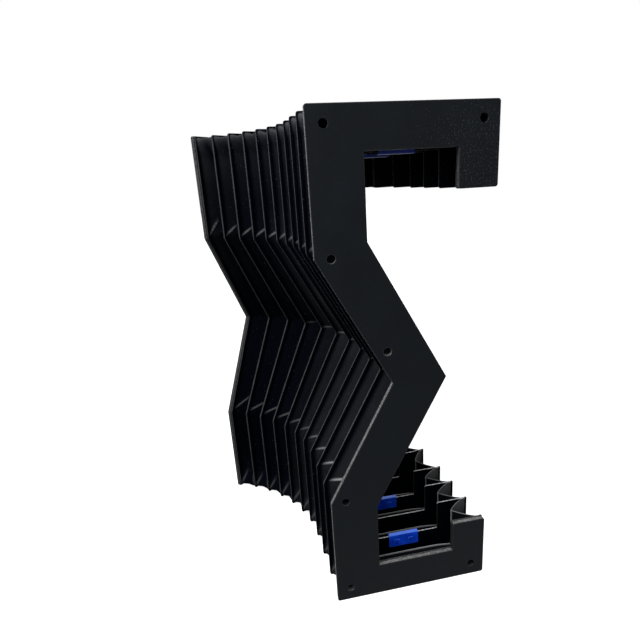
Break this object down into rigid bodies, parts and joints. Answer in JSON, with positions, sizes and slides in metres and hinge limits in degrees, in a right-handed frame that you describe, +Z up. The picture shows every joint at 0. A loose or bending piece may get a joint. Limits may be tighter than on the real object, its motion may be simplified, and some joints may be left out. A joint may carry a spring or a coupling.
{
  "type": "bellows way cover",
  "caption": "Folded bellows cover for a machine way, sigma-shaped plates and frames open on one side, fanned out sideways, with clip-on guides.",
  "frame": {"origin": "middle of the front plate's four corner holes, on its front face", "axes": "+X along the bars from the column to the lips, -Y out of the front plate's face, +Z up along the plates' height"},
  "size_m": [0.2231, 0.3078, 0.4],
  "materials": {
    "plate": "black, finely pebbled",
    "frame": "black, satin sheet",
    "cloth": "black coated cloth, dull sheen",
    "guide": "bright blue, satin"
  },
  "bodies": {
    "front_end": {"front_plate": "plate", "front_end_frame": "frame", "bellows_cloth": "cloth"},
    "carrier_1": {"frame_1": "frame", "top_guide_1": "guide", "bottom_guide_1": "guide"},
    "carrier_2": {"frame_2": "frame"},
    "carrier_3": {"frame_3": "frame", "top_guide_3": "guide", "bottom_guide_3": "guide"},
    "carrier_4": {"frame_4": "frame"},
    "carrier_5": {"frame_5": "frame", "top_guide_5": "guide", "bottom_guide_5": "guide"},
    "carrier_6": {"frame_6": "frame"},
    "carrier_7": {"frame_7": "frame", "top_guide_7": "guide", "bottom_guide_7": "guide"},
    "carrier_8": {"frame_8": "frame"},
    "carrier_9": {"frame_9": "frame", "top_guide_9": "guide", "bottom_guide_9": "guide"},
    "rear_end": {"rear_end_frame": "frame", "rear_plate": "plate"}
  },
  "joints": [
    {"name": "fold_1_slide", "type": "slide", "parent": "front_end", "child": "carrier_1", "axis": [-0.0785, 0.9969, 0], "range_m": [-0.023, 0.02], "deforming": ["bellows_cloth"]},
    {"name": "fold_2_slide", "type": "slide", "parent": "carrier_1", "child": "carrier_2", "axis": [-0.0785, 0.9969, 0], "range_m": [-0.023, 0.02], "deforming": ["bellows_cloth"]},
    {"name": "fold_3_slide", "type": "slide", "parent": "carrier_2", "child": "carrier_3", "axis": [-0.0785, 0.9969, 0], "range_m": [-0.023, 0.02], "deforming": ["bellows_cloth"]},
    {"name": "fold_4_fan", "type": "hinge", "parent": "carrier_3", "child": "carrier_4", "pos_m": [-0.25654, 0.05932, 0], "axis": [0, 0, 1], "range_deg": [-6, 2.25], "deforming": ["bellows_cloth"]},
    {"name": "fold_5_fan", "type": "hinge", "parent": "carrier_4", "child": "carrier_5", "pos_m": [-0.18461, 0.07468, 0], "axis": [0, 0, 1], "range_deg": [-8, 3], "deforming": ["bellows_cloth"]},
    {"name": "fold_6_fan", "type": "hinge", "parent": "carrier_5", "child": "carrier_6", "pos_m": [-0.18558, 0.07856, 0], "axis": [0, 0, 1], "range_deg": [-8, 3], "deforming": ["bellows_cloth"]},
    {"name": "fold_7_fan", "type": "hinge", "parent": "carrier_6", "child": "carrier_7", "pos_m": [-0.18708, 0.08227, 0], "axis": [0, 0, 1], "range_deg": [-8, 3], "deforming": ["bellows_cloth"]},
    {"name": "fold_8_fan", "type": "hinge", "parent": "carrier_7", "child": "carrier_8", "pos_m": [-0.18908, 0.08574, 0], "axis": [0, 0, 1], "range_deg": [-8, 3], "deforming": ["bellows_cloth"]},
    {"name": "fold_9_fan", "type": "hinge", "parent": "carrier_8", "child": "carrier_9", "pos_m": [-0.19154, 0.08889, 0], "axis": [0, 0, 1], "range_deg": [-8, 3], "deforming": ["bellows_cloth"]},
    {"name": "fold_10_fan", "type": "hinge", "parent": "carrier_9", "child": "rear_end", "pos_m": [-0.19442, 0.09167, 0], "axis": [0, 0, 1], "range_deg": [-8, 3], "deforming": ["bellows_cloth"]}
  ],
  "couplings": [
    {"joint": "fold_2_slide", "follows": "fold_1_slide", "ratio": 1},
    {"joint": "fold_3_slide", "follows": "fold_1_slide", "ratio": 1},
    {"joint": "fold_5_fan", "follows": "fold_4_fan", "ratio": 1.3333},
    {"joint": "fold_6_fan", "follows": "fold_4_fan", "ratio": 1.3333},
    {"joint": "fold_7_fan", "follows": "fold_4_fan", "ratio": 1.3333},
    {"joint": "fold_8_fan", "follows": "fold_4_fan", "ratio": 1.3333},
    {"joint": "fold_9_fan", "follows": "fold_4_fan", "ratio": 1.3333},
    {"joint": "fold_10_fan", "follows": "fold_4_fan", "ratio": 1.3333}
  ]
}
